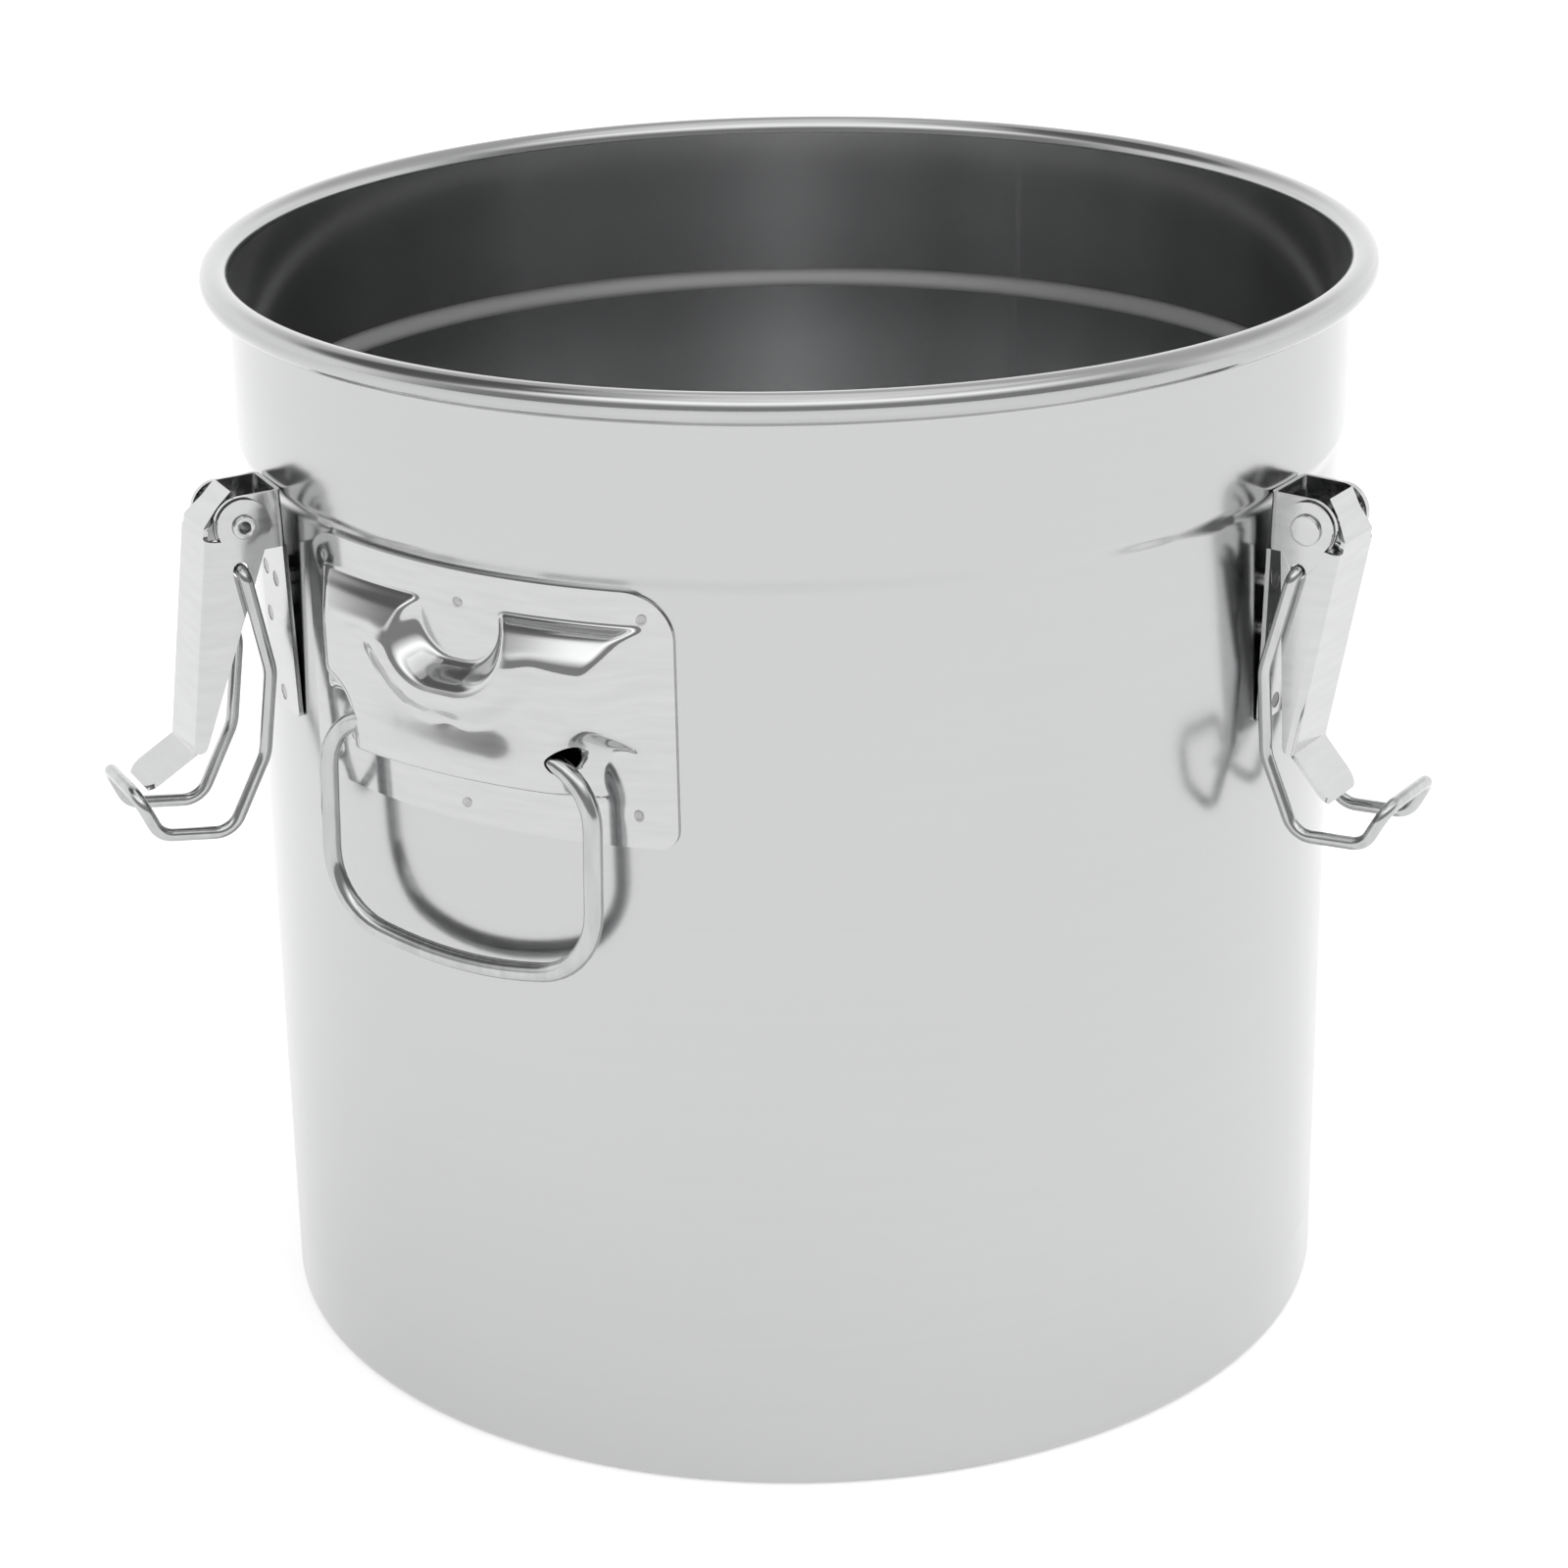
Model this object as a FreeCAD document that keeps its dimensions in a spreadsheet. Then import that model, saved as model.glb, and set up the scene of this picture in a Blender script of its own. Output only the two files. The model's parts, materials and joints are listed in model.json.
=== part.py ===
import FreeCAD, Part
import Sketcher
import math
import os
import re
from FreeCAD import Placement, Rotation, Vector

# Open milk can with three draw latches and two drop handles.
# Frame: origin at the middle of the base, +Z up along the can's axis, millimetres.
# A latch or handle at azimuth A has its own frame: X outward, Y to the left as seen
# from the axis, Z up.

SIZES = [
    # can
    ("wallRadius", 150.0),          # outside of the lower wall
    ("wallSheet", 0.8),
    ("neckStep", 2.0),              # how much the neck stands out from the lower wall
    ("stepLow", 249.2),             # the step starts
    ("stepTop", 252.8),             # the step ends
    ("stepBend", 1.6),
    ("rimRadius", 4.1),             # outside of the rolled rim's section
    ("rimHeight", 297.2),           # middle of the rolled rim's section
    ("rimSkirt", 0.6),              # straight stretch under the roll, where it joins the barrel
    ("rimTurn", 136.0),             # the curl's end, degrees under the rim's outermost line
    ("bottomSkirt", 24.0),          # height of the butt seam
    ("bottomCorner", 2.8),
    ("seamGap", 0.05),              # between welded sheets
    # latch
    ("pivotOut", 13.3),             # pivot from the lower wall
    ("pivotHeight", 247.1),
    ("latchSheet", 1.2),
    ("cheekSpread", 9.5),           # outside of the bracket's cheeks, from the middle
    ("cheekRadius", 7.6),
    ("foldRadius", 2.0),
    ("tailLength", 55.6),           # from the pivot down to the tail's end
    ("tailCorner", 1.5),
    ("sideGap", 0.3),               # between the bracket's cheeks and the lever's ears
    ("leverWeb", 9.9),              # outer face of the lever's web from the pivot
    ("leverLength", 61.5),          # from the pivot down to the tongue's bend
    ("earRadius", 7.2),
    ("earSlot", 4.0),               # the slot beside the ears ends this far under the pivot
    ("earBack", 6.0),               # where the cheek's inner edge starts, inward
    ("cheekToe", 2.7),              # depth of the lever's cheek at its lower end
    ("toeRadius", 2.4),
    ("flapDrop", 1.0),              # the flap's crease under the pivot
    ("flapAngle", 38.1),
    ("flapLength", 11.8),
    ("flapRoot", 8.0),              # half width of the flap where it starts
    ("flapTip", 6.75),              # half width of the flap's end
    ("flapWaist", 6.2),
    ("tongueAngle", 52.3),
    ("tongueLength", 15.5),
    ("tongueSpread", 9.0),
    ("tongueCorner", 4.0),
    ("rivetRadius", 2.5),
    ("rivetHead", 4.1),
    ("rivetHeadThick", 1.0),
    ("rivetClinch", 3.2),
    ("rivetBore", 1.5),
    ("rivetBoreDepth", 7.0),
    ("runFit", 0.05),               # radial clearance of rivets and weld plugs
    ("endPlay", 0.06),              # between the ears and the rivet's head
    ("wireRadius", 1.75),
    ("wirePlay", 0.4),              # radial play of the bail in the lever's holes
    ("wireOut", 0.25),              # bail hole from the pivot, outward
    ("wireDown", 11.65),            # bail hole from the pivot, down
    ("wireGap", 0.55),               # between the lever's cheeks and the bail's legs
    ("wireEnd", 7.5),               # the bail's ends reach in to here
    ("bailUpper", 28.2),
    ("bailMiddle", 22.9),
    ("bailLower", 22.7),
    ("bailTurn", 19.8),
    ("bailHook", 12.7),
    ("bendUpper", 18.5),
    ("bendLower", 20.0),
    ("bendTurn", 70.5),
    ("bendHook", 57.7),
    ("leverHang", -11.0),           # hanging angle, bottom outward is positive
    ("bailHang", -15.3),
    ("proppedLever", 7.0),          # the latch whose bail rests on its tongue
    ("proppedBail", -10.9),
    ("plugRadius", 2.1),            # spot welds
    ("plugSink", 0.15),
    # handle
    ("handleSheet", 1.0),
    ("plateSpread", 57.3),          # half width of the plate, straight across
    ("plateLow", 182.0),
    ("plateTop", 248.8),
    ("plateTopCorner", 12.0),
    ("plateLowCorner", 5.0),
    ("bossRise", 10.0),             # front of the boss from the lower wall
    ("bossBend", 3.0),
    ("wideFront", 40.5),            # half width of the upper part of the boss, at its front
    ("wideFoot", 50.0),             # and at the plate
    ("wideLow", 212.0),
    ("wideLowFront", 213.0),
    ("wideTopFront", 231.5),
    ("wideTop", 239.3),
    ("narrowGap", 4.0),             # from the middle of the ring's legs to the narrow part's foot
    ("narrowSlope", 8.5),           # from that foot in to the front
    ("narrowLow", 195.5),
    ("narrowLowFront", 197.5),
    ("recessSpread", 10.8),         # recess from the top, at the plate
    ("recessLow", 227.0),
    ("recessCorner", 6.0),
    ("recessSlope", 34.5),
    ("barOut", 4.0),                # middle of the ring's bar from the lower wall
    ("barHeight", 205.4),
    ("barPlay", 3.0),               # between the bar and the holes it leaves by
    ("ringRod", 2.5),
    ("ringSpread", 42.0),
    ("ringDrop", 54.2),
    ("ringBow", 8.5),
    ("ringTopBend", 16.0),
    ("ringLowBend", 20.0),
    ("ringHang", 2.2),
]
NAMES = [name for name, value in SIZES]

LATCH_AZIMUTHS = [-90.0, 150.0, 30.0]
PROPPED_LATCH = 2
HANDLE_AZIMUTHS = [180.0, 0.0]
# spot welds: to the left of the middle and height
TAIL_PLUGS = [(-5.7, 229.7), (1.2, 228.1), (-5.9, 216.5), (-1.2, 195.5)]
# spot welds of a handle plate: distance round the wall from its middle, and height
PLATE_PLUGS = [(-50.5, 242.0), (0.0, 240.5), (50.5, 242.0), (-48.4, 190.5), (0.0, 187.0), (48.4, 190.5)]

doc = FreeCAD.newDocument("MilkCan")
sheet = doc.addObject("Spreadsheet::Sheet", "Size")
for row, (name, value) in enumerate(SIZES, start=1):
    sheet.set("A%d" % row, name)
    sheet.set("B%d" % row, str(value))
    sheet.setAlias("B%d" % row, name)
doc.recompute()

nodes = []


def formula(text):
    """Point every size name in a formula at the sheet."""
    return re.sub(r"[A-Za-z]\w*", lambda m: "Size." + m.group() if m.group() in NAMES else m.group(), text)


def value(text):
    return float(sheet.evalExpression(formula(text)))


def size(name):
    return float(sheet.get(name))


def bind(thing, prop, text):
    thing.setExpression(prop, formula(text))


def keep(thing, label, placement=None):
    """Make an object a piece of the can under its own name."""
    thing.Label = label
    if placement is not None:
        thing.Placement = placement
    nodes.append(thing)
    return thing


def newBody(name):
    return doc.addObject("PartDesign::Body", name)


def newSketch(body, role, offset=None):
    sketch = body.newObject("Sketcher::SketchObject", body.Name + "Sketch")
    plane = [f for f in body.Origin.OriginFeatures if f.Role == role][0]
    sketch.AttachmentSupport = [(plane, "")]
    sketch.MapMode = "FlatFace"
    if offset is not None:
        bind(sketch, "AttachmentOffset.Base.z", offset)
    return sketch


def pin(sketch, geometry, end, x, y):
    """Hold one point of a sketch at two formulas."""
    for kind, text in (("DistanceX", x), ("DistanceY", y)):
        index = sketch.addConstraint(Sketcher.Constraint(kind, geometry, end, value(text)))
        bind(sketch, "Constraints[%d]" % index, text)


def holdRadius(sketch, geometry, text):
    index = sketch.addConstraint(Sketcher.Constraint("Radius", geometry, value(text)))
    bind(sketch, "Constraints[%d]" % index, text)


def drawCircle(sketch, x, y, radius):
    circle = Part.Circle(Vector(value(x), value(y), 0), Vector(0, 0, 1), value(radius))
    geometry = sketch.addGeometry(circle, False)
    holdRadius(sketch, geometry, radius)
    pin(sketch, geometry, 3, x, y)


def drawOutline(sketch, corners):
    """Closed outline. Each corner is (x, y) or (x, y, radius), written as formulas."""
    count = len(corners)
    points = [Vector(value(c[0]), value(c[1]), 0) for c in corners]
    starts = []
    ends = []
    arcs = []
    for i in range(count):
        here = points[i]
        before = (here - points[i - 1]).normalize()
        after = (points[(i + 1) % count] - here).normalize()
        if len(corners[i]) == 2:
            starts.append(here)
            ends.append(here)
            arcs.append(None)
            continue
        radius = value(corners[i][2])
        turn = math.atan2(before.x * after.y - before.y * after.x, before.dot(after))
        reach = radius * math.tan(abs(turn) / 2)
        left = Vector(-before.y, before.x, 0)
        start = here - before * reach
        middle = start + left * math.copysign(radius, turn)
        end = here + after * reach
        first = math.atan2(start.y - middle.y, start.x - middle.x)
        last = math.atan2(end.y - middle.y, end.x - middle.x)
        if turn < 0:
            first, last = last, first
        if last < first:
            last += 2 * math.pi
        circle = Part.Circle(middle, Vector(0, 0, 1), radius)
        starts.append(start)
        ends.append(end)
        arcs.append((sketch.addGeometry(Part.ArcOfCircle(circle, first, last), False), turn > 0))
    lines = []
    for i in range(count):
        line = Part.LineSegment(ends[i], starts[(i + 1) % count])
        lines.append(sketch.addGeometry(line, False))
    for i in range(count):
        lineIn = lines[i - 1]
        lineOut = lines[i]
        if arcs[i] is None:
            sketch.addConstraint(Sketcher.Constraint("Coincident", lineIn, 2, lineOut, 1))
            pin(sketch, lineOut, 1, corners[i][0], corners[i][1])
            continue
        arc, forward = arcs[i]
        arcIn, arcOut = (1, 2) if forward else (2, 1)
        sketch.addConstraint(Sketcher.Constraint("Tangent", lineIn, 2, arc, arcIn))
        sketch.addConstraint(Sketcher.Constraint("Tangent", arc, arcOut, lineOut, 1))
        holdRadius(sketch, arc, corners[i][2])
        corner = sketch.addGeometry(Part.Point(points[i]), True)
        sketch.addConstraint(Sketcher.Constraint("PointOnObject", corner, 1, lineIn))
        sketch.addConstraint(Sketcher.Constraint("PointOnObject", corner, 1, lineOut))
        pin(sketch, corner, 1, corners[i][0], corners[i][1])
    return sketch


def pad(name, role, corners, length, offset=None, holes=(), middle=True):
    """Body padded from one closed outline, on both sides of its plane unless told otherwise."""
    body = newBody(name)
    sketch = newSketch(body, role, offset)
    drawOutline(sketch, corners)
    for hole in holes:
        drawCircle(sketch, *hole)
    feature = body.newObject("PartDesign::Pad", name + "Pad")
    feature.Profile = sketch
    feature.Midplane = middle
    bind(feature, "Length", length)
    sketch.Visibility = False
    return body


def turned(name, role, corners):
    """Body turned about its sketch's upright axis."""
    body = newBody(name)
    sketch = newSketch(body, role)
    drawOutline(sketch, corners)
    feature = body.newObject("PartDesign::Revolution", name + "Turn")
    feature.Profile = sketch
    feature.ReferenceAxis = (sketch, ["V_Axis"])
    feature.Angle = 360
    return body


def combine(kind, name, shapes):
    thing = doc.addObject(kind, name)
    if kind == "Part::Cut":
        thing.Base, thing.Tool = shapes
    else:
        thing.Shapes = shapes
    thing.Refine = True
    return thing


def fuse(name, *shapes):
    return combine("Part::MultiFuse", name, list(shapes))


def common(name, *shapes):
    return combine("Part::MultiCommon", name, list(shapes))


def cut(name, base, tool):
    return combine("Part::Cut", name, (base, tool))


def pinAcross(name, radius, length, x="0", z="0"):
    """Cylinder along the frame's Y axis, the same on both sides of the middle."""
    thing = doc.addObject("Part::Cylinder", name)
    bind(thing, "Radius", radius)
    bind(thing, "Height", length)
    thing.Placement = Placement(Vector(), Rotation(Vector(1, 0, 0), 90))
    bind(thing, "Placement.Base.x", x)
    bind(thing, "Placement.Base.y", "(%s) / 2" % length)
    bind(thing, "Placement.Base.z", z)
    return thing


def rodAlong(corners, radius, closed):
    """Round rod along straight runs joined by bends; corners are (point, bend radius)."""
    count = len(corners)
    points = [c[0] for c in corners]
    starts = []
    ends = []
    bends = []
    for i in range(count):
        here = points[i]
        if not closed and i in (0, count - 1):
            starts.append(here)
            ends.append(here)
            bends.append(None)
            continue
        before = (here - points[i - 1]).normalize()
        after = (points[(i + 1) % count] - here).normalize()
        half = math.acos(max(-1.0, min(1.0, before.dot(after)))) / 2
        bend = corners[i][1]
        inward = (after - before).normalize()
        start = here - before * (bend * math.tan(half))
        end = here + after * (bend * math.tan(half))
        crown = here + inward * (bend / math.cos(half) - bend)
        starts.append(start)
        ends.append(end)
        bends.append(Part.Arc(start, crown, end).toShape())
    edges = []
    last = count if closed else count - 1
    for i in range(last):
        edges.append(Part.makeLine(ends[i], starts[(i + 1) % count]))
        if bends[(i + 1) % count] is not None:
            edges.append(bends[(i + 1) % count])
    path = Part.Wire(edges)
    heading = (starts[1] - ends[0]).normalize()
    section = Part.Wire([Part.makeCircle(radius, ends[0], heading)])
    rod = path.makePipeShell([section], True, False)
    expected = math.pi * radius ** 2 * path.Length
    if abs(rod.Volume / expected - 1) > 0.01:
        raise ValueError("the rod's volume does not match its length")
    return rod


def fixedShape(name, shape):
    thing = doc.addObject("Part::Feature", name)
    thing.Shape = shape
    return thing


def latchPlacement(azimuth, hang, forward=0.0, down=0.0, pivotHang=0.0):
    """Place a latch piece: its origin at the pivot, or at a point of the lever's frame."""
    turnPivot = Rotation(Vector(0, 1, 0), -pivotHang)
    reach = turnPivot.multVec(Vector(forward, 0, -down))
    spot = Vector(size("wallRadius") + size("pivotOut"), 0, size("pivotHeight")) + reach
    around = Rotation(Vector(0, 0, 1), azimuth)
    return Placement(around.multVec(spot), around.multiply(Rotation(Vector(0, 1, 0), -hang)))


# ---------------------------------------------------------------- can

def makeBarrel():
    """Rolled wall with the neck standing out above the step."""
    rimSeat = "rimHeight - rimRadius - rimSkirt"
    body = turned("canBarrel", "XZ_Plane", [
        ("wallRadius", "bottomSkirt"),
        ("wallRadius", "stepLow", "stepBend"),
        ("wallRadius + neckStep", "stepTop", "stepBend"),
        ("wallRadius + neckStep", rimSeat),
        ("wallRadius + neckStep - wallSheet", rimSeat),
        ("wallRadius + neckStep - wallSheet", "stepTop", "stepBend"),
        ("wallRadius - wallSheet", "stepLow", "stepBend"),
        ("wallRadius - wallSheet", "bottomSkirt"),
    ])
    keep(body, "can_barrel")


def makeRim():
    """Rolled rim: the neck's top edge curled outward until its lip nears the neck again."""
    body = newBody("canRim")
    sketch = newSketch(body, "XZ_Plane")
    neckIn = "wallRadius + neckStep - wallSheet"
    neckOut = "wallRadius + neckStep"
    rimSeat = "rimHeight - rimRadius - rimSkirt"
    outer = size("rimRadius")
    inner = outer - size("wallSheet")
    middle = Vector(value(neckIn) + outer, size("rimHeight"), 0)
    lipAngle = -math.radians(size("rimTurn"))
    upright = Vector(0, 0, 1)

    def around(radius):
        return middle + Vector(radius * math.cos(lipAngle), radius * math.sin(lipAngle), 0)

    corners = [(neckOut, "rimHeight"), (neckOut, rimSeat), (neckIn, rimSeat), (neckIn, "rimHeight")]
    points = [Vector(value(x), value(y), 0) for x, y in corners]
    lines = [sketch.addGeometry(Part.LineSegment(a, b), False) for a, b in zip(points, points[1:])]
    rollOut = sketch.addGeometry(Part.ArcOfCircle(Part.Circle(middle, upright, outer), lipAngle, math.pi), False)
    rollIn = sketch.addGeometry(Part.ArcOfCircle(Part.Circle(middle, upright, inner), lipAngle, math.pi), False)
    lip = sketch.addGeometry(Part.LineSegment(around(outer), around(inner)), False)
    for first, second in zip(lines, lines[1:]):
        sketch.addConstraint(Sketcher.Constraint("Coincident", first, 2, second, 1))
    sketch.addConstraint(Sketcher.Constraint("Coincident", lines[0], 1, rollIn, 2))
    sketch.addConstraint(Sketcher.Constraint("Coincident", lines[-1], 2, rollOut, 2))
    sketch.addConstraint(Sketcher.Constraint("Coincident", lip, 1, rollOut, 1))
    sketch.addConstraint(Sketcher.Constraint("Coincident", lip, 2, rollIn, 1))
    sketch.addConstraint(Sketcher.Constraint("Coincident", rollIn, 3, rollOut, 3))
    sketch.addConstraint(Sketcher.Constraint("PointOnObject", rollOut, 3, lip))
    pin(sketch, rollOut, 3, neckIn + " + rimRadius", "rimHeight")
    for line, (x, y) in zip(lines, corners):
        pin(sketch, line, 1, x, y)
    pin(sketch, lines[-1], 2, *corners[-1])
    lipX = neckIn + " + rimRadius + rimRadius * cos(rimTurn)"
    index = sketch.addConstraint(Sketcher.Constraint("DistanceX", lip, 1, value(lipX)))
    bind(sketch, "Constraints[%d]" % index, lipX)
    feature = body.newObject("PartDesign::Revolution", "canRimTurn")
    feature.Profile = sketch
    feature.ReferenceAxis = (sketch, ["V_Axis"])
    feature.Angle = 360
    keep(body, "can_rim")


def makeBottom():
    body = turned("canBottom", "XZ_Plane", [
        ("0", "0"),
        ("wallRadius", "0", "bottomCorner"),
        ("wallRadius", "bottomSkirt - seamGap"),
        ("wallRadius - wallSheet", "bottomSkirt - seamGap"),
        ("wallRadius - wallSheet", "wallSheet", "bottomCorner - wallSheet"),
        ("0", "wallSheet"),
    ])
    keep(body, "can_bottom")


# ---------------------------------------------------------------- latch

def bracketLean():
    """The bracket rests on the neck's step and on the wall at its tail's end."""
    return math.degrees(math.atan(size("neckStep") / value("stepTop - pivotHeight + tailLength")))


def bracketBack():
    """Distance from the pivot to the bracket's back, square to the back."""
    lean = math.radians(bracketLean())
    foot = size("pivotOut") - value("runFit + 0.03")
    return (foot - size("tailLength") * math.tan(lean)) * math.cos(lean)


def makeBracket(number, azimuth):
    name = "bracket%d" % number
    back = "-%.4f" % bracketBack()
    front = back + " + latchSheet"
    inside = "cheekSpread - latchSheet"
    channel = pad(name + "Channel", "XY_Plane", [
        (back, "-cheekSpread", "foldRadius"),
        ("cheekRadius", "-cheekSpread"),
        ("cheekRadius", "-(%s)" % inside),
        (front, "-(%s)" % inside, "foldRadius - latchSheet"),
        (front, inside, "foldRadius - latchSheet"),
        ("cheekRadius", inside),
        ("cheekRadius", "cheekSpread"),
        (back, "cheekSpread", "foldRadius"),
    ], "2 * cheekRadius")
    side = pad(name + "Side", "XZ_Plane", [
        (back + " - 1", "-cheekRadius"),
        ("cheekRadius", "-cheekRadius", "cheekRadius * 0.99"),
        ("cheekRadius", "cheekRadius", "cheekRadius * 0.99"),
        (back + " - 1", "cheekRadius"),
    ], "2 * cheekSpread + 2")
    holes = []
    for left, height in TAIL_PLUGS:
        holes.append((str(left), "%s - pivotHeight" % height, "plugRadius + runFit"))
    tail = pad(name + "Tail", "YZ_Plane", [
        ("-cheekSpread", "-tailLength", "tailCorner"),
        ("cheekSpread", "-tailLength", "tailCorner"),
        ("cheekSpread", "-cheekRadius"),
        ("-cheekSpread", "-cheekRadius"),
    ], "latchSheet", offset=back, holes=holes, middle=False)
    hole = pinAcross(name + "Hole", "rivetRadius + runFit", "3 * cheekSpread")
    whole = fuse(name + "Whole", common(name + "Cheeks", channel, side), tail)
    bracket = cut(name, whole, hole)
    keep(bracket, "latch_bracket_%d" % number, latchPlacement(azimuth, -bracketLean()))


def makeTailPlugs(number, azimuth):
    """Weld plugs in the bracket's tail, down to the can's wall."""
    name = "tailPlugs%d" % number
    place = latchPlacement(azimuth, -bracketLean())
    outward = place.Rotation.multVec(Vector(1, 0, 0))
    plugs = []
    for index, (left, height) in enumerate(TAIL_PLUGS, start=1):
        plug = doc.addObject("Part::Cylinder", "%sPlug%d" % (name, index))
        bind(plug, "Radius", "plugRadius")
        bind(plug, "Height", "3 * latchSheet - plugSink")
        start = Vector(-bracketBack() - 2 * size("latchSheet"), left, height - size("pivotHeight"))
        plug.Placement = Placement(place.multVec(start), Rotation(Vector(0, 0, 1), outward))
        plugs.append(plug)
    wall = doc.addObject("Part::Cylinder", name + "Wall")
    bind(wall, "Radius", "wallRadius + seamGap")
    bind(wall, "Height", "rimHeight")
    keep(cut(name, fuse(name + "All", *plugs), wall), "latch_bracket_welds_%d" % number)


def makeRivet(number, azimuth):
    """Rivet with a flat head on the right and a clinched hollow end on the left."""
    ear = "cheekSpread + sideGap + latchSheet + endPlay"
    body = turned("rivet%d" % number, "XY_Plane", [
        ("0", "-(%s) - rivetHeadThick" % ear),
        ("rivetHead", "-(%s) - rivetHeadThick" % ear, "rivetHeadThick * 0.4"),
        ("rivetHead", "-(%s)" % ear),
        ("rivetRadius", "-(%s)" % ear),
        ("rivetRadius", ear),
        ("rivetClinch", ear),
        ("rivetClinch", ear + " + rivetHeadThick", "rivetHeadThick * 0.5"),
        ("rivetBore", ear + " + rivetHeadThick", "rivetHeadThick * 0.4"),
        ("rivetBore", ear + " - rivetBoreDepth"),
        ("0", ear + " - rivetBoreDepth"),
    ])
    keep(body, "latch_rivet_%d" % number, latchPlacement(azimuth, -bracketLean()))


def makeLever(number, azimuth, hang):
    name = "lever%d" % number
    outside = "(cheekSpread + sideGap + latchSheet)"
    inside = "(cheekSpread + sideGap)"
    channel = pad(name + "Channel", "XY_Plane", [
        ("leverWeb", "-" + outside, "foldRadius"),
        ("leverWeb", outside, "foldRadius"),
        ("-earRadius - 1", outside),
        ("-earRadius - 1", inside),
        ("leverWeb - latchSheet", inside, "foldRadius - latchSheet"),
        ("leverWeb - latchSheet", "-" + inside, "foldRadius - latchSheet"),
        ("-earRadius - 1", "-" + inside),
        ("-earRadius - 1", "-" + outside),
    ], "leverLength + earRadius + 1", offset="-leverLength", middle=False)
    cheek = pad(name + "Cheek", "XZ_Plane", [
        ("-earBack", "-earBack"),
        ("leverWeb - cheekToe", "-leverLength", "toeRadius"),
        ("leverWeb + 1", "-leverLength"),
        ("leverWeb + 1", "-earSlot"),
        ("-earBack + 1.5", "-earSlot"),
    ], "3 * cheekSpread")
    ear = pinAcross(name + "Ear", "earRadius", "3 * cheekSpread")
    folded = common(name + "Folded", channel, fuse(name + "Side", cheek, ear))
    flapStrip = pad(name + "FlapStrip", "XZ_Plane", [
        ("leverWeb", "-earSlot - 2"),
        ("leverWeb", "-flapDrop", "foldRadius"),
        ("leverWeb - flapLength * sin(flapAngle)", "-flapDrop + flapLength * cos(flapAngle)"),
        ("leverWeb - flapLength * sin(flapAngle) - latchSheet * cos(flapAngle)",
         "-flapDrop + flapLength * cos(flapAngle) - latchSheet * sin(flapAngle)"),
        ("leverWeb - latchSheet", "-flapDrop - latchSheet * tan(flapAngle / 2)", "foldRadius - latchSheet"),
        ("leverWeb - latchSheet", "-earSlot - 2"),
    ], "3 * cheekSpread")
    flapFront = pad(name + "FlapFront", "YZ_Plane", [
        ("-flapRoot", "-earSlot - 3"),
        ("flapRoot", "-earSlot - 3"),
        ("flapRoot", "-flapDrop", "2 * foldRadius"),
        ("flapWaist", "flapLength * 0.35", "2 * foldRadius"),
        ("flapTip", "flapLength", "foldRadius"),
        ("-flapTip", "flapLength", "foldRadius"),
        ("-flapWaist", "flapLength * 0.35", "2 * foldRadius"),
        ("-flapRoot", "-flapDrop", "2 * foldRadius"),
    ], "3 * leverWeb")
    flap = common(name + "Flap", flapStrip, flapFront)
    tongueStrip = pad(name + "TongueStrip", "XZ_Plane", [
        ("leverWeb", "-leverLength + 2"),
        ("leverWeb - latchSheet", "-leverLength + 2"),
        ("leverWeb - latchSheet", "-leverLength - latchSheet * tan(tongueAngle / 2)", "foldRadius"),
        ("leverWeb + tongueLength * sin(tongueAngle) - latchSheet * cos(tongueAngle)",
         "-leverLength - tongueLength * cos(tongueAngle) - latchSheet * sin(tongueAngle)"),
        ("leverWeb + tongueLength * sin(tongueAngle)", "-leverLength - tongueLength * cos(tongueAngle)"),
        ("leverWeb", "-leverLength", "foldRadius - latchSheet"),
    ], "3 * cheekSpread")
    tongueFront = pad(name + "TongueFront", "XY_Plane", [
        ("leverWeb - 3", "-tongueSpread"),
        ("leverWeb + tongueLength * sin(tongueAngle)", "-tongueSpread", "tongueCorner"),
        ("leverWeb + tongueLength * sin(tongueAngle)", "tongueSpread", "tongueCorner"),
        ("leverWeb - 3", "tongueSpread"),
    ], "3 * leverLength")
    tongue = common(name + "Tongue", tongueStrip, tongueFront)
    whole = fuse(name + "Whole", folded, flap, tongue)
    rivetHole = pinAcross(name + "RivetHole", "rivetRadius + runFit", "3 * cheekSpread")
    wireHole = pinAcross(name + "WireHole", "wireRadius + wirePlay", "3 * cheekSpread", "wireOut", "-wireDown")
    lever = cut(name, whole, fuse(name + "Holes", rivetHole, wireHole))
    keep(lever, "latch_lever_%d" % number, latchPlacement(azimuth, hang))


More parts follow.
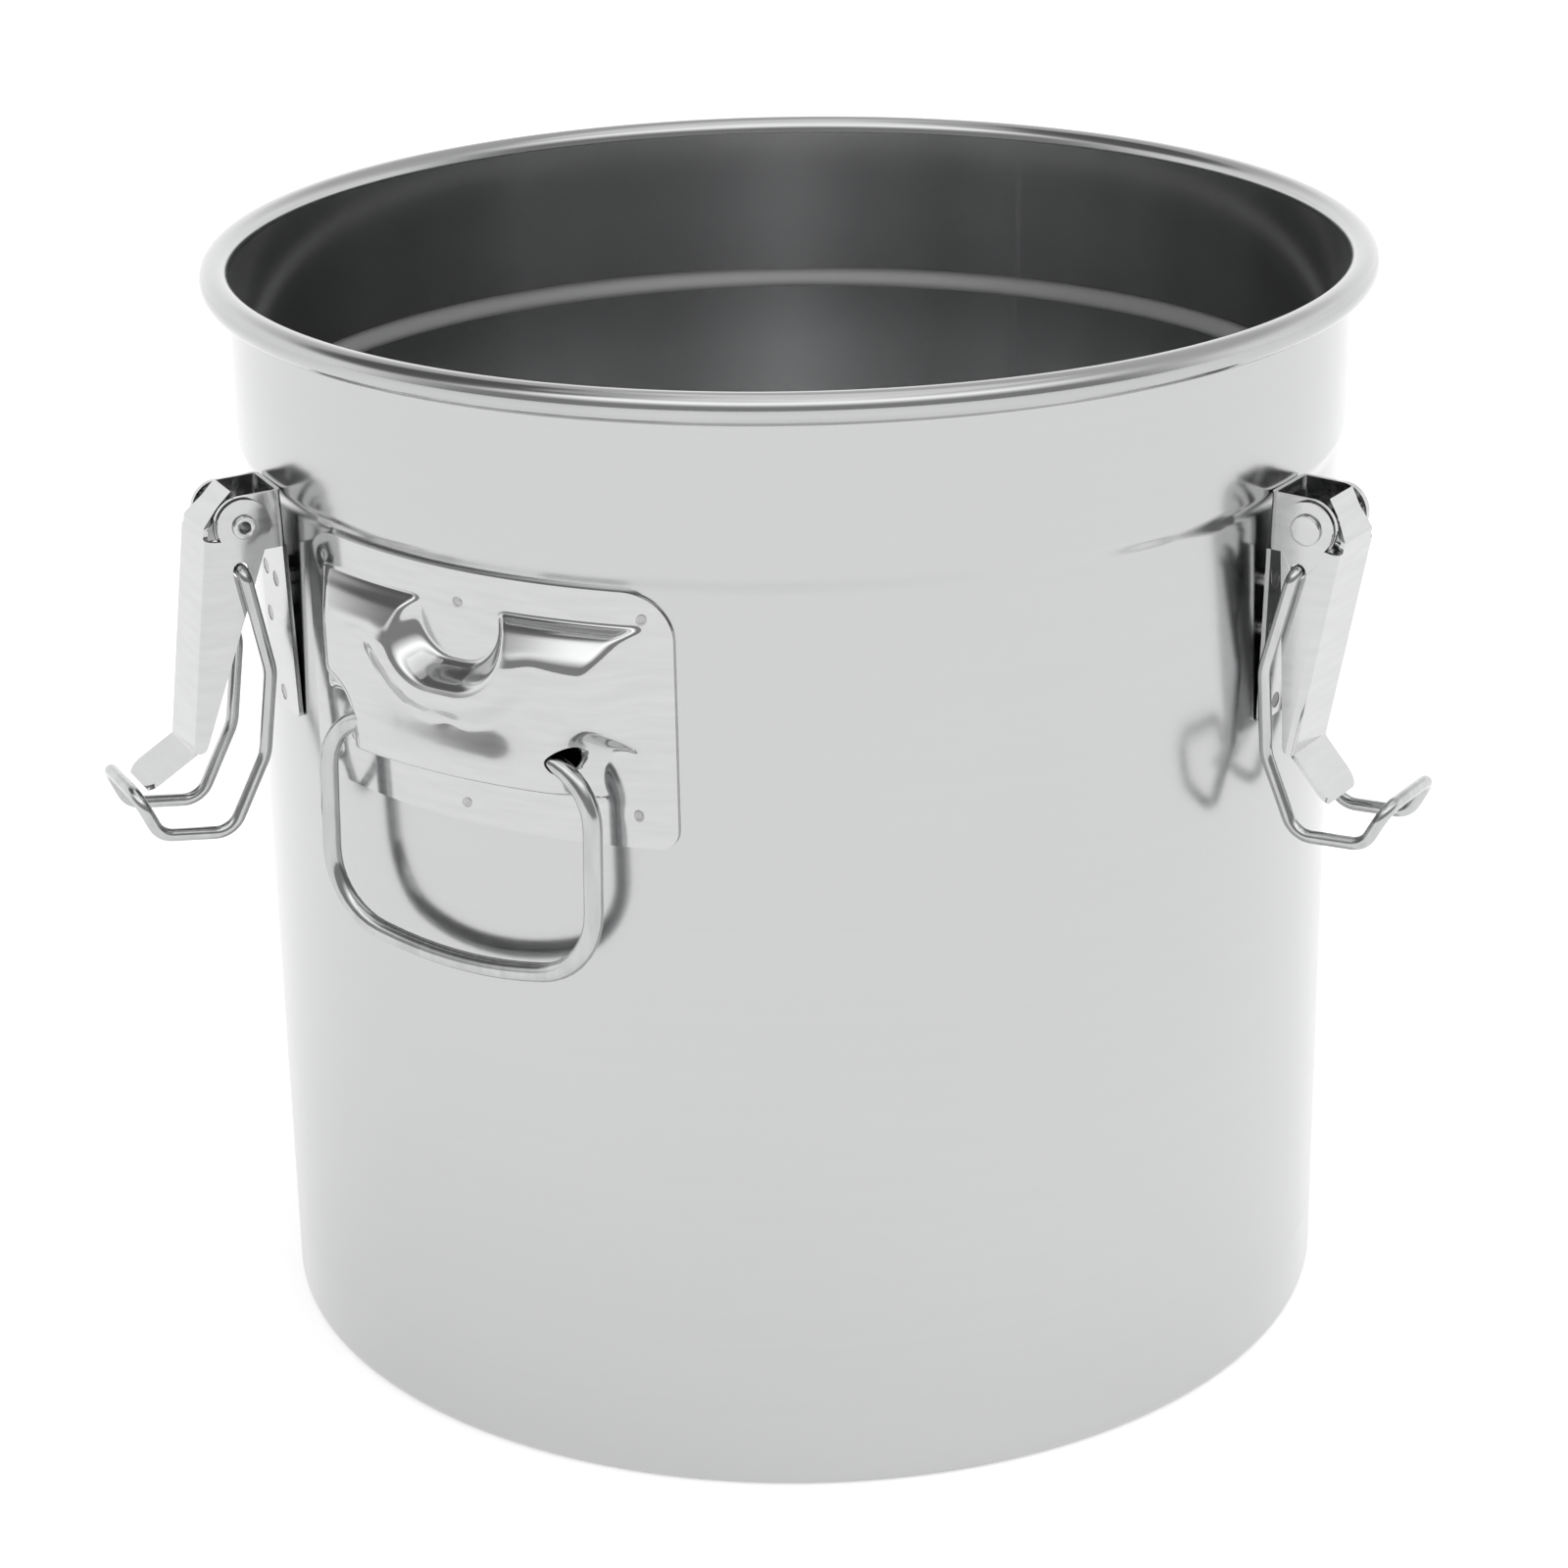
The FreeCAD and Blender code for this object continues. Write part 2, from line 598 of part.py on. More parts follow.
def makeBail(number, azimuth, leverHang, bailHang):
    """Wire bail: in through the lever's holes, down both sides and across in a hook."""
    runs = [size("bailUpper"), size("bailMiddle"), size("bailLower"), size("bailTurn"), size("bailHook")]
    turns = [0.0, size("bendUpper"), size("bendLower"), size("bendTurn"), size("bendHook")]
    wire = size("wireRadius")
    bends = [7 * wire, 7 * wire, 4 * wire, 3.5 * wire, 3 * wire]
    spread = value("cheekSpread + sideGap + latchSheet + wireGap + wireRadius")
    x = 0.0
    z = 0.0
    heading = 0.0
    left = [(Vector(0, size("wireEnd"), 0), 0.0), (Vector(0, spread, 0), 1.7 * wire)]
    for run, turn, bend in zip(runs, turns, bends):
        heading += math.radians(turn)
        x += run * math.sin(heading)
        z -= run * math.cos(heading)
        left.append((Vector(x, spread, z), bend))
    right = [(Vector(p.x, -p.y, p.z), bend) for p, bend in reversed(left)]
    bail = fixedShape("bail%d" % number, rodAlong(left + right, wire, False))
    place = latchPlacement(azimuth, bailHang, size("wireOut"), size("wireDown"), leverHang)
    keep(bail, "latch_bail_%d" % number, place)


# ---------------------------------------------------------------- handle

def bossSides(name, foot, front, shrink):
    """Block whose two sides slope from the plate to the boss's front, seen from above."""
    footX = "sqrt((wallRadius + handleSheet) ^ 2 - %s ^ 2)" % foot
    frontX = "sqrt((wallRadius + bossRise) ^ 2 - %s ^ 2)" % front
    slope = "((%s - %s) / (%s - (%s)))" % (foot, front, frontX, footX)
    lowX = "(wallRadius - 20)"
    highX = "(wallRadius + bossRise + 4)"
    wideLow = "(%s + (%s - %s) * %s - %s)" % (foot, footX, lowX, slope, shrink)
    wideHigh = "(%s - (%s - (%s)) * %s - %s)" % (front, highX, frontX, slope, shrink)
    return pad(name, "XY_Plane", [
        (lowX, "-" + wideLow),
        (highX, "-" + wideHigh),
        (highX, wideHigh),
        (lowX, wideLow),
    ], "3 * rimHeight")


def bossShell(name, low, lowFront, topFront, top, shrink, bend):
    """Turned solid between two slopes; shrink takes the sheet off for the hollow."""
    inner = "(wallRadius - 12)"
    rise = "(wallRadius + bossRise - %s)" % shrink
    lowSlope = "((%s - %s) / (bossRise - handleSheet))" % (lowFront, low)
    topSlope = "((%s - %s) / (bossRise - handleSheet))" % (top, topFront)
    reach = "(12 + handleSheet)"
    return turned(name, "XZ_Plane", [
        (inner, "%s - %s * %s + %s" % (low, reach, lowSlope, shrink)),
        (rise, "%s + %s" % (lowFront, shrink), bend),
        (rise, "%s - %s * 1.2" % (topFront, shrink), bend),
        (inner, "%s + %s * %s - %s * 1.2" % (top, reach, topSlope, shrink)),
    ])


def bossSolid(name, shrink, bend):
    """Wide upper part and narrow lower part of the boss as one solid."""
    wide = common(name + "Wide",
                  bossShell(name + "WideTurn", "wideLow", "wideLowFront", "wideTopFront", "wideTop", shrink, bend),
                  bossSides(name + "WideSides", "wideFoot", "wideFront", shrink))
    narrow = common(name + "Narrow",
                    bossShell(name + "NarrowTurn", "narrowLow", "narrowLowFront", "wideTopFront", "wideTop",
                              shrink, bend),
                    bossSides(name + "NarrowSides", "(ringSpread - narrowGap)",
                               "(ringSpread - narrowGap - narrowSlope)", shrink))
    front = doc.addObject("Part::Box", name + "Front")
    bind(front, "Length", "2 * wallRadius")
    bind(front, "Width", "4 * wideFoot")
    bind(front, "Height", "2 * rimHeight")
    bind(front, "Placement.Base.y", "-2 * wideFoot")
    return common(name + "Part", fuse(name + "Both", wide, narrow), front)


def recess(name, grow):
    """Recess from the boss's top, opening outward on sloping sides."""
    body = newBody(name)
    sketch = newSketch(body, "YZ_Plane", "wallRadius + handleSheet")
    drawOutline(sketch, [
        ("-recessSpread - %s" % grow, "recessLow - %s" % grow, "recessCorner + %s" % grow),
        ("recessSpread + %s" % grow, "recessLow - %s" % grow, "recessCorner + %s" % grow),
        ("recessSpread + %s" % grow, "wideTop + 10"),
        ("-recessSpread - %s" % grow, "wideTop + 10"),
    ])
    feature = body.newObject("PartDesign::Pad", name + "Pad")
    feature.Profile = sketch
    bind(feature, "Length", "bossRise + 2")
    bind(feature, "TaperAngle", "recessSlope")
    return body


def makePlate(number, azimuth):
    name = "plate%d" % number
    flat = turned(name + "Sheet", "XZ_Plane", [
        ("wallRadius + seamGap", "plateLow"),
        ("wallRadius + handleSheet", "plateLow"),
        ("wallRadius + handleSheet", "plateTop"),
        ("wallRadius + seamGap", "plateTop"),
    ])
    shape = pad(name + "Outline", "YZ_Plane", [
        ("-plateSpread", "plateLow", "plateLowCorner"),
        ("plateSpread", "plateLow", "plateLowCorner"),
        ("plateSpread", "plateTop", "plateTopCorner"),
        ("-plateSpread", "plateTop", "plateTopCorner"),
    ], "2 * wallRadius", middle=False)
    solid = bossSolid(name + "Boss", "0", "bossBend")
    raised = cut(name + "Raised", solid, recess(name + "Recess", "0"))
    hollowSolid = bossSolid(name + "Hollow", "handleSheet", "bossBend - handleSheet")
    hollow = cut(name + "Void", hollowSolid, recess(name + "RecessSkin", "handleSheet / cos(recessSlope)"))
    core = doc.addObject("Part::Cylinder", name + "Core")
    bind(core, "Radius", "wallRadius + seamGap")
    bind(core, "Height", "rimHeight")
    sheetAndBoss = fuse(name + "Whole", common(name + "Flat", flat, shape), raised)
    pressed = cut(name + "Pressed", cut(name + "Open", sheetAndBoss, hollow), core)
    holes = [pinAcross(name + "BarHole", "ringRod + barPlay", "3 * ringSpread", "wallRadius + barOut", "barHeight")]
    for index, (along, height) in enumerate(PLATE_PLUGS, start=1):
        hole = doc.addObject("Part::Cylinder", "%sPlugHole%d" % (name, index))
        bind(hole, "Radius", "plugRadius + runFit")
        bind(hole, "Height", "10 * handleSheet")
        turn = along / size("wallRadius")
        outward = Vector(math.cos(turn), math.sin(turn), 0)
        start = outward * value("wallRadius - 5 * handleSheet") + Vector(0, 0, height)
        hole.Placement = Placement(start, Rotation(Vector(0, 0, 1), outward))
        holes.append(hole)
    plate = cut(name, pressed, fuse(name + "Holes", *holes))
    keep(plate, "handle_plate_%d" % number, Placement(Vector(), Rotation(Vector(0, 0, 1), azimuth)))


def makePlatePlugs(number, azimuth):
    name = "platePlugs%d" % number
    plugs = []
    for index, (along, height) in enumerate(PLATE_PLUGS, start=1):
        plug = doc.addObject("Part::Cylinder", "%sPlug%d" % (name, index))
        bind(plug, "Radius", "plugRadius")
        bind(plug, "Height", "handleSheet - plugSink + 1")
        turn = along / size("wallRadius")
        outward = Vector(math.cos(turn), math.sin(turn), 0)
        start = outward * value("wallRadius - 1") + Vector(0, 0, height)
        plug.Placement = Placement(start, Rotation(Vector(0, 0, 1), outward))
        plugs.append(plug)
    wall = doc.addObject("Part::Cylinder", name + "Wall")
    bind(wall, "Radius", "wallRadius + seamGap")
    bind(wall, "Height", "rimHeight")
    welds = cut(name, fuse(name + "All", *plugs), wall)
    keep(welds, "handle_plate_welds_%d" % number, Placement(Vector(), Rotation(Vector(0, 0, 1), azimuth)))


def makeRing(number, azimuth):
    """D ring: a straight bar in the boss, two legs and a slightly bowed grip."""
    spread = size("ringSpread")
    drop = size("ringDrop")
    slope = math.atan(size("ringBow") / spread)
    cornerReach = size("ringLowBend") * math.tan((math.pi / 2 - slope) / 2)
    gripBend = 0.98 * (math.hypot(spread, size("ringBow")) - cornerReach) / math.tan(slope)
    corners = [
        (Vector(0, -spread, 0), size("ringTopBend")),
        (Vector(0, spread, 0), size("ringTopBend")),
        (Vector(0, spread, -drop), size("ringLowBend")),
        (Vector(0, 0, -drop - size("ringBow")), gripBend),
        (Vector(0, -spread, -drop), size("ringLowBend")),
    ]
    ring = fixedShape("ring%d" % number, rodAlong(corners, size("ringRod"), True))
    around = Rotation(Vector(0, 0, 1), azimuth)
    spot = around.multVec(Vector(value("wallRadius + barOut"), 0, size("barHeight")))
    tilt = around.multiply(Rotation(Vector(0, 1, 0), -size("ringHang")))
    keep(ring, "handle_ring_%d" % number, Placement(spot, tilt))


makeBarrel()
makeRim()
makeBottom()
for number, azimuth in enumerate(LATCH_AZIMUTHS, start=1):
    propped = number == PROPPED_LATCH
    leverHang = size("proppedLever") if propped else size("leverHang")
    bailHang = size("proppedBail") if propped else size("bailHang")
    makeBracket(number, azimuth)
    makeTailPlugs(number, azimuth)
    makeRivet(number, azimuth)
    makeLever(number, azimuth, leverHang)
    makeBail(number, azimuth, leverHang, bailHang)
for number, azimuth in enumerate(HANDLE_AZIMUTHS, start=1):
    makePlate(number, azimuth)
    makePlatePlugs(number, azimuth)
    makeRing(number, azimuth)

doc.recompute()

for thing in doc.Objects:
    if "Invalid" in thing.State or "Error" in thing.State:
        raise RuntimeError("%s did not build: %s" % (thing.Name, thing.State))

os.makedirs("parts", exist_ok=True)
for node in nodes:
    if node.Shape.isNull() or not node.Shape.isValid():
        raise RuntimeError("%s has no valid shape" % node.Label)
    if not node.Shape.Solids:
        raise RuntimeError("%s has no solid" % node.Label)
    print(node.Label, len(node.Shape.Solids), "solids", round(node.Shape.Volume, 1), "mm3")
    node.Shape.exportStep("parts/%s.step" % node.Label)
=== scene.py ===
import json
import math

import bmesh
import bpy
from mathutils import Matrix, Vector


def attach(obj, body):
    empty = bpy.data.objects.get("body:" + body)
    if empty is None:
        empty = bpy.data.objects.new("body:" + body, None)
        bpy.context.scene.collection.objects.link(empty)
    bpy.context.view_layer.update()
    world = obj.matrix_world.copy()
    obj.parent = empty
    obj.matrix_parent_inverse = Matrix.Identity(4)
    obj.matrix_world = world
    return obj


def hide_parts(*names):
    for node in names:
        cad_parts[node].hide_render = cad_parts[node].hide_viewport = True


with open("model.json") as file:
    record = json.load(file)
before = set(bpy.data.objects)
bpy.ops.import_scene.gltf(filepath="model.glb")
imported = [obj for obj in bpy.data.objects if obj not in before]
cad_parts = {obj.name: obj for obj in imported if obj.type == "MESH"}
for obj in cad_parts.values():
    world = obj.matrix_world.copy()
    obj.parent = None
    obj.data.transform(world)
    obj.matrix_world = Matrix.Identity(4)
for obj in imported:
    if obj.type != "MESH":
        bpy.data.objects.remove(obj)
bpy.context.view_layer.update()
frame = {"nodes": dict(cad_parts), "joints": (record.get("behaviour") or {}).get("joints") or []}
mm = 0.001
scene = bpy.context.scene


# shader maths: one wrapped socket, and one method for any node

class Sock:
    def __init__(self, tree, socket):
        self.tree = tree
        self.socket = socket

    def node(self, kind, settings=None, values=None, out=0):
        made = self.tree.nodes.new(kind)
        for key, setting in (settings or {}).items():
            if key == "stops":
                self.setStops(made.color_ramp.elements, setting)
            else:
                setattr(made, key, setting)
        for key, given in (values or {}).items():
            if isinstance(given, Sock):
                self.tree.links.new(given.socket, made.inputs[key])
            else:
                made.inputs[key].default_value = given
        return Sock(self.tree, made.outputs[out])

    def setStops(self, stops, wanted):
        while len(stops) < len(wanted):
            stops.new(0.5)
        for stop, (place, shade) in zip(stops, wanted):
            stop.position = place
            stop.color = (shade, shade, shade, 1)

    def maths(self, operation, *others):
        values = {0: self}
        for index, other in enumerate(others, start=1):
            values[index] = other
        return self.node("ShaderNodeMath", {"operation": operation}, values)

    def __add__(self, other):
        return self.maths("ADD", other)

    __radd__ = __add__

    def __mul__(self, other):
        return self.maths("MULTIPLY", other)

    __rmul__ = __mul__

    def __sub__(self, other):
        return self.maths("SUBTRACT", other)

    def __rsub__(self, other):
        return (self * -1.0) + other

    def ramp(self, fromLow, fromHigh, low, high, kind="LINEAR"):
        values = {"Value": self, "From Min": fromLow, "From Max": fromHigh, "To Min": low, "To Max": high}
        return self.node("ShaderNodeMapRange", {"interpolation_type": kind}, values)

    def band(self, middle, half):  # 1 within half of the middle, falling to 0 over as much again
        away = (self - middle).maths("ABSOLUTE")
        return away.ramp(half, 2 * half, 1.0, 0.0, "SMOOTHSTEP")

    def spread(self, low, high):  # noise lies mostly between 0.3 and 0.7
        return self.ramp(0.3, 0.7, low, high)

    def mixed(self, first, second):
        return self.node("ShaderNodeMix", {"data_type": "RGBA"}, {0: self, 6: first, 7: second}, out=2)

    def tint(self, dark, light):
        return self.mixed((*dark, 1), (*light, 1))

    def along(self, direction):
        values = {0: self, 1: direction}
        return self.node("ShaderNodeVectorMath", {"operation": "DOT_PRODUCT"}, values, out="Value")

    def part(self, index):
        return self.node("ShaderNodeSeparateXYZ", None, {"Vector": self}, out=index)


def newMaterial(name):
    made = bpy.data.materials.new(name)
    made.use_nodes = True
    tree = made.node_tree
    shader = tree.nodes["Principled BSDF"]
    coords = tree.nodes.new("ShaderNodeTexCoord")
    return made, shader, Sock(tree, coords.outputs["Object"])


def feed(shader, socket, value):
    value.tree.links.new(value.socket, shader.inputs[socket])


def grain(place, scale, detail=3.0, stretch=(1, 1, 1)):
    moved = place.node("ShaderNodeMapping", None, {"Vector": place, "Scale": stretch})
    return moved.node("ShaderNodeTexNoise", None, {"Vector": moved, "Scale": scale, "Detail": detail})


steelLook = {
    "can": {"dark": (0.512, 0.514, 0.516), "light": (0.525, 0.527, 0.529), "rough": 0.16,
            "roughMore": 0.03, "lines": (2, 2, 420), "bump": 0.0003},
    # painted light: the inside is a lighter copy of the can's steel, with two brighter upright lanes of
    # painted reflection
    "inside": {"dark": (0.62, 0.622, 0.624), "light": (0.89, 0.892, 0.894), "rough": 0.13,
               "roughMore": 0.06, "lines": (17, 17, 0.3), "bump": 0.0, "linesShare": 0.85,
               "litLane": (0.83, 0.557)},
    "dish": {"dark": (0.73, 0.732, 0.734), "light": (0.78, 0.782, 0.784), "rough": 0.13,
             "roughMore": 0.06, "lines": (60, 60, 60), "bump": 0.0},
    # painted shade: a darker, rougher copy of the can's steel for the inner step, dimming the bright line it
    # reflects
    "roughStepShade": {"dark": (0.25, 0.251, 0.252), "light": (0.33, 0.331, 0.332), "rough": 0.48,
              "roughMore": 0.12, "lines": (2, 2, 420), "bump": 0.001},
    # painted shade: a darker copy of the can's steel for the curl
    "rim": {"dark": (0.40, 0.402, 0.405), "light": (0.52, 0.522, 0.525), "rough": 0.11,
            "roughMore": 0.08, "lines": (2, 2, 420), "bump": 0.001},
    "pressed": {"dark": (0.51, 0.512, 0.514), "light": (0.58, 0.582, 0.584), "rough": 0.08,
                "roughMore": 0.06, "lines": (60, 60, 500), "bump": 0.01},
    "wire": {"dark": (0.40, 0.403, 0.406), "light": (0.56, 0.563, 0.566), "rough": 0.10,
             "roughMore": 0.10, "lines": (300, 300, 60), "bump": 0.02},
    "weld": {"dark": (0.30, 0.30, 0.305), "light": (0.56, 0.56, 0.565), "rough": 0.22,
             "roughMore": 0.2, "lines": (700, 700, 700), "bump": 0.10},
}
grainForm = {"clouds": 9.0, "specks": 260.0, "linesShare": 0.5, "bumpDistance": 0.0004,
             "roughLines": 0.5, "roughClouds": 0.4, "roughSpecks": 0.1}
# painted reflection: where the brighter upright lanes inside the can begin and end, and how much they lighten
# it
litLaneForm = {"from": 0.095, "to": 0.145, "share": 0.6}
seamForm = {"foot": 0.0235, "footHalf": 0.0008, "footShare": 0.4, "side": 0.0152, "sideHalf": 0.0006,
            "sideFrom": 0.10, "sideTo": 0.12, "rougher": 0.05, "darker": 0.3}


def makeSteel(kind, seams=False):
    look = steelLook[kind]
    made, shader, place = newMaterial(kind + "Steel")
    lines = grain(place, 1.0, 2.0, look["lines"])
    clouds = grain(place, grainForm["clouds"], 4.0)
    specks = grain(place, grainForm["specks"], 2.0)
    linesShare = look.get("linesShare", grainForm["linesShare"])
    tone = (lines * linesShare + clouds * (1 - linesShare)).spread(0.0, 1.0)
    rough = (lines.spread(0.0, grainForm["roughLines"]) + clouds.spread(0.0, grainForm["roughClouds"])
             + specks.spread(0.0, grainForm["roughSpecks"]))
    rough = rough * look["roughMore"] + look["rough"]
    if "litLane" in look:  # painted reflection: brighter in two upright lanes that face each other across the can
        along, across = look["litLane"]
        facing = (place.part(0) * along + place.part(1) * across).maths("ABSOLUTE")
        litLane = facing.ramp(litLaneForm["from"], litLaneForm["to"], 0.0, 1.0, "SMOOTHSTEP")
        tone = litLane * litLaneForm["share"] + tone * (1 - litLaneForm["share"])
    if seams:  # the joint round the foot and the upright joint down one side
        foot = place.part(2).band(seamForm["foot"], seamForm["footHalf"])
        side = place.part(1).band(seamForm["side"], seamForm["sideHalf"])
        oneSide = place.part(0).ramp(seamForm["sideFrom"], seamForm["sideTo"], 0.0, 1.0)
        seam = foot * seamForm["footShare"] + side * oneSide
        rough = rough + seam * seamForm["rougher"]
        tone = tone - seam * seamForm["darker"]
    bump = lines.node("ShaderNodeBump", None, {"Strength": look["bump"], "Height": lines,
                                               "Distance": grainForm["bumpDistance"]})
    feed(shader, "Base Color", tone.tint(look["dark"], look["light"]))
    feed(shader, "Roughness", rough)
    feed(shader, "Normal", bump)
    shader.inputs["Metallic"].default_value = 1.0
    return made


canSteel = makeSteel("can", seams=True)
# painted light: a lighter copy of the can's steel for what looks into the can
litInsideSteel = makeSteel("inside", seams=True)
dishSteel = makeSteel("dish")
# painted shade: a darker copy for the curl
shadedRimSteel = makeSteel("rim")
# painted shade: a darker, rougher copy for the inner step
roughStepShadeSteel = makeSteel("roughStepShade")
pressedSteel = makeSteel("pressed")
wireSteel = makeSteel("wire")
weldSteel = makeSteel("weld")
print("materials made")


# shared making of pieces

sharpFrom = 40.0  # degrees between faces


def finishPiece(bm, name, material):
    mesh = bpy.data.meshes.new(name)
    bm.to_mesh(mesh)
    bm.free()
    mesh.shade_smooth()
    mesh.set_sharp_from_angle(angle=math.radians(sharpFrom))
    mesh.materials.append(material)
    piece = bpy.data.objects.new(name, mesh)
    scene.collection.objects.link(piece)
    return piece


def sharpEdges(bm, angle):
    return [e for e in bm.edges if e.is_manifold and e.calc_face_angle(0) > math.radians(angle)]


def evaluatedMesh(thing):
    return bpy.data.meshes.new_from_object(thing.evaluated_get(bpy.context.evaluated_depsgraph_get()))


def arc(middle, radius, first, last, steps):  # angles in degrees
    points = []
    for step in range(steps + 1):
        angle = math.radians(first + (last - first) * step / steps)
        points.append((middle[0] + radius * math.cos(angle), middle[1] + radius * math.sin(angle)))
    return points


def spinProfile(points, turns, closed):
    bm = bmesh.new()
    verts = [bm.verts.new((x * mm, 0, z * mm)) for x, z in points]
    pairs = list(zip(verts, verts[1:]))
    if closed:
        pairs.append((verts[-1], verts[0]))
    edges = [bm.edges.new(pair) for pair in pairs]
    bmesh.ops.spin(bm, geom=verts + edges, cent=(0, 0, 0), axis=(0, 0, 1), angle=2 * math.pi,
                   steps=turns, use_merge=True)
    bmesh.ops.remove_doubles(bm, verts=bm.verts, dist=1e-7)
    bmesh.ops.recalc_face_normals(bm, faces=bm.faces)
    return bm


def ease(t):
    t = max(0.0, min(1.0, t))
    return t * t * (3 - 2 * t)


# the can

canForm = {"wall": 150.0, "sheet": 0.8, "seam": 24.0, "wallRows": (60, 120, 180, 230), "neckRow": 275,
           "step": 2.0, "outerStep": (248.4, 254.6), "innerStep": (249.2, 254.6), "stepRows": 14,
           "rim": 4.1, "rimHeight": 297.2, "curlEnd": -136.0, "curlRows": 40,
           "corner": 2.8, "cornerRows": (10, 8), "bottomRows": (30, 80, 125), "around": 288}


def stepPoints(radius, rows, upward):
    low, high = rows
    points = []
    for row in range(canForm["stepRows"] + 1):
        share = row / canForm["stepRows"]
        points.append((radius + canForm["step"] * ease(share), low + (high - low) * share))
    return points if upward else points[::-1]


# painted light and shade: what looks into the can gets a lighter copy of the steel, the curl a darker copy,
# and the inner step a darker, rougher copy
def paintCanLightAndShade(piece, litInner):
    for material in (litInner, shadedRimSteel, roughStepShadeSteel):
        piece.data.materials.append(material)
    low, high = canForm["innerStep"]
    for face in piece.data.polygons:
        inward = face.normal.x * face.center.x + face.normal.y * face.center.y < -1e-3
        floorUp = face.normal.z > 0.9 and face.center.z < 0.01
        if floorUp or (inward and face.center.z < canForm["rimHeight"] * mm):
            onStep = low * mm < face.center.z < high * mm
            face.material_index = 3 if onStep else 1
        elif face.center.z > (canForm["rimHeight"] - canForm["rim"]) * mm:
            face.material_index = 2


def makeBarrel():
    wall = canForm["wall"]
    inside = wall - canForm["sheet"]
    rim = canForm["rim"]
    end = canForm["curlEnd"]
    rows = canForm["curlRows"]
    middle = (inside + canForm["step"] + rim, canForm["rimHeight"])
    points = [(wall, canForm["seam"])] + [(wall, height) for height in canForm["wallRows"]]
    points += stepPoints(wall, canForm["outerStep"], True)
    points += [(wall + canForm["step"], canForm["neckRow"])]
    points += arc(middle, rim - canForm["sheet"], 180, end, rows)
    points += arc(middle, rim, end, 180, rows)
    points += [(inside + canForm["step"], canForm["neckRow"])]
    points += stepPoints(inside, canForm["innerStep"], False)
    points += [(inside, height) for height in reversed(canForm["wallRows"])] + [(inside, canForm["seam"])]
    barrel = finishPiece(spinProfile(points, canForm["around"], True), "barrel", canSteel)
    paintCanLightAndShade(barrel, litInsideSteel)
    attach(barrel, "can")
    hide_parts("can_barrel", "can_rim")


def makeDish():
    wall = canForm["wall"]
    sheet = canForm["sheet"]
    corner = canForm["corner"]
    middle = (wall - corner, corner)
    outerRows, innerRows = canForm["cornerRows"]
    points = [(0, 0)] + [(radius, 0) for radius in canForm["bottomRows"]]
    points += arc(middle, corner, -90, 0, outerRows)
    points += [(wall, canForm["seam"]), (wall - sheet, canForm["seam"])]
    points += arc(middle, corner - sheet, 0, -90, innerRows)
    points += [(radius, sheet) for radius in reversed(canForm["bottomRows"])] + [(0, sheet)]
    dish = finishPiece(spinProfile(points, canForm["around"], False), "bottomDish", canSteel)
    paintCanLightAndShade(dish, dishSteel)
    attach(dish, "can")
    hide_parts("can_bottom")


makeBarrel()
makeDish()
print("can made")


# latches: sheet pieces keep their own form and get soft edges

latchForm = {"sheetEdge": 0.2, "rivetEdge": 0.12, "sharpAt": 30.0, "flatAt": 1.0, "merge": 2e-6}


def softCopy(node, name, body, edge):
    source = frame["nodes"][node]
    bm = bmesh.new()
    bm.from_mesh(source.data)
    bmesh.ops.transform(bm, matrix=source.matrix_world, verts=bm.verts)
    bmesh.ops.remove_doubles(bm, verts=bm.verts, dist=latchForm["merge"])
    flatAt = math.radians(latchForm["flatAt"])
    bmesh.ops.dissolve_limit(bm, angle_limit=flatAt, verts=bm.verts, edges=bm.edges)
    bmesh.ops.bevel(bm, geom=sharpEdges(bm, latchForm["sharpAt"]), offset=edge * mm, offset_type="OFFSET",
                    segments=2, profile=0.5, affect="EDGES", material=-1, clamp_overlap=True)
    bmesh.ops.triangulate(bm, faces=[f for f in bm.faces if len(f.verts) > 4])
    piece = finishPiece(bm, name, pressedSteel)
    piece.modifiers.new("even", "WEIGHTED_NORMAL").keep_sharp = True
    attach(piece, body)
    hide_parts(node)


for number in (1, 2, 3):
    lever = "lever_%d" % number
    softCopy("latch_bracket_%d" % number, "bracket_%d" % number, "can", latchForm["sheetEdge"])
    softCopy("latch_lever_%d" % number, lever, lever, latchForm["sheetEdge"])
    softCopy("latch_rivet_%d" % number, "rivet_%d" % number, "can", latchForm["rivetEdge"])
    welds = frame["nodes"]["latch_bracket_welds_%d" % number]
    for slot in welds.material_slots:
        slot.material = weldSteel
print("latch sheet pieces made")


# bent wire and rod

rodForm = {"bendSteps": 9, "sides": 6, "merge": 1e-6, "endEdge": 0.3, "endAngle": 60}


def bentPath(corners, closed):  # corners are (point, bend radius)
    count = len(corners)
    steps = rodForm["bendSteps"]
    points = []
    for index, (here, bend) in enumerate(corners):
        if not closed and index in (0, count - 1):
            points.append(here)
            continue
        before = (here - corners[index - 1][0]).normalized()
        after = (corners[(index + 1) % count][0] - here).normalized()
        half = before.angle(after) / 2
        along = (before + after).normalized()
        inward = (after - before).normalized()
        middle = here + inward * (bend / math.cos(half))
        for step in range(steps + 1):
            lean = half * (2 * step / steps - 1)
            points.append(middle - inward * (bend * math.cos(lean)) + along * (bend * math.sin(lean)))
    return points


